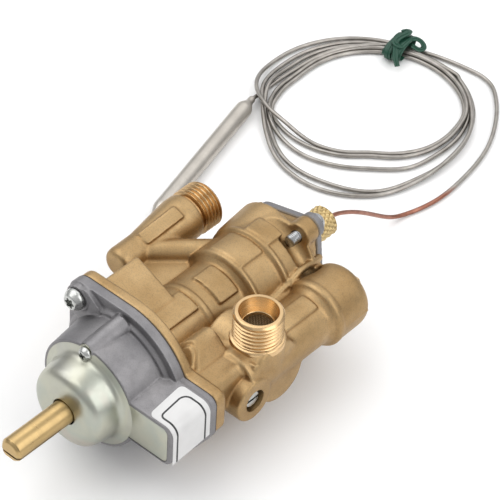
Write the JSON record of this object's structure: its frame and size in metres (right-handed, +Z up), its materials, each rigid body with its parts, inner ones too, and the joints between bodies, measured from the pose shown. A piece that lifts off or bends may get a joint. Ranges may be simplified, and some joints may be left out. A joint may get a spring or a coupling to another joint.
{
  "type": "gas valve",
  "caption": "Thermostatic gas valve: brass body with threaded inlet and outlet, push-and-turn spindle, flame-failure chamber, coiled capillary and sensing bulb.",
  "frame": {"origin": "on the surface that the valve stands on, under the middle of the valve without its capillary, coil and bulb", "axes": "+Y along the main axis from the spindle to the capillary nut, +Z up along the inlet port, +X towards the flame-failure chamber"},
  "size_m": [0.1185, 0.2597, 0.0502],
  "materials": {
    "cast_brass": "hot-pressed brass, fine blasted skin",
    "turned_brass": "turned, bright",
    "cast_aluminium": "die cast, satin",
    "zinc_plate": "pressed steel, bright zinc plated",
    "steel": "zinc plated steel",
    "spring_steel": "drawn wire",
    "rubber": "matte black",
    "sticker": "white film with a black border",
    "capillary": "drawn tube, copper washed next to the nut",
    "bulb_steel": "satin",
    "tie": "green covered wire, twisted"
  },
  "bodies": {
    "valve": {"cover_plate": "zinc_plate", "cap_screw_top": "steel", "cap_screw_bottom": "steel", "front_housing": "cast_aluminium", "housing_screw_top": "steel", "housing_screw_bottom": "steel", "front_gasket": "rubber", "label": "sticker", "stop_washer": "steel", "return_spring": "spring_steel", "plug_retainer": "steel", "regulating_spring": "spring_steel", "thermostat_seat": "turned_brass", "thermostat_spring": "spring_steel", "bellows_bracket": "steel", "bellows_capsule": "steel", "rod_seal": "rubber", "safety_spring": "spring_steel", "magnet_unit": "zinc_plate", "thermocouple_bush": "turned_brass", "valve_body": "cast_brass", "inlet_filter": "turned_brass", "bypass_seal": "rubber", "rear_gasket": "rubber", "rear_plate": "cast_aluminium", "rear_screw_1": "steel", "rear_screw_2": "steel", "knurled_nut": "turned_brass", "capillary_tube": "capillary", "capillary_coil": "capillary", "coil_tie": "tie", "sensing_bulb": "bulb_steel"},
    "push_bridge": {"push_bridge": "zinc_plate"},
    "spindle": {"spindle": "turned_brass", "circlip": "spring_steel"},
    "plug": {"plug": "turned_brass", "regulating_screw": "turned_brass"},
    "regulating_sleeve": {"regulating_sleeve": "turned_brass"},
    "thermostat_disc": {"thermostat_disc": "turned_brass"},
    "push_rod": {"push_rod": "steel"},
    "safety_disc": {"safety_disc": "steel"},
    "bypass_screw": {"bypass_screw": "steel"}
  },
  "joints": [
    {"name": "spindle_push", "type": "slide", "parent": "valve", "child": "push_bridge", "axis": [0, 1, 0], "range_m": [0, 0.0045], "stiffness_N_per_m": 1500, "springref_m": -0.005, "deforming": ["return_spring"]},
    {"name": "spindle_turn", "type": "hinge", "parent": "push_bridge", "child": "spindle", "pos_m": [0.0001, -0.04, 0.025], "axis": [0, -1, 0], "range_deg": [0, 270]},
    {"name": "plug_turn", "type": "hinge", "parent": "valve", "child": "plug", "pos_m": [0.0001, -0.007, 0.025], "axis": [0, -1, 0], "range_deg": [0, 270]},
    {"name": "sleeve_slide", "type": "slide", "parent": "valve", "child": "regulating_sleeve", "axis": [0, 1, 0], "range_m": [0, 0.0012], "deforming": ["regulating_spring"]},
    {"name": "thermostat_slide", "type": "slide", "parent": "valve", "child": "thermostat_disc", "axis": [0, 1, 0], "range_m": [0, 0.0014], "stiffness_N_per_m": 1200, "springref_m": -0.003, "deforming": ["thermostat_spring", "regulating_spring"]},
    {"name": "rod_slide", "type": "slide", "parent": "valve", "child": "push_rod", "axis": [0, 1, 0], "range_m": [0, 0.0045]},
    {"name": "safety_slide", "type": "slide", "parent": "valve", "child": "safety_disc", "axis": [0, 1, 0], "range_m": [0, 0.0045], "deforming": ["safety_spring"]},
    {"name": "bypass_turn", "type": "hinge", "parent": "valve", "child": "bypass_screw", "pos_m": [0.03, -0.0027, 0.0209], "axis": [1, 0, 0], "range_deg": [0, 360]}
  ],
  "couplings": [
    {"joint": "plug_turn", "follows": "spindle_turn", "ratio": 1},
    {"joint": "sleeve_slide", "follows": "spindle_turn", "m_per_rad": 0.000254},
    {"joint": "rod_slide", "follows": "spindle_push", "ratio": 1},
    {"joint": "safety_slide", "follows": "spindle_push", "ratio": 1}
  ]
}
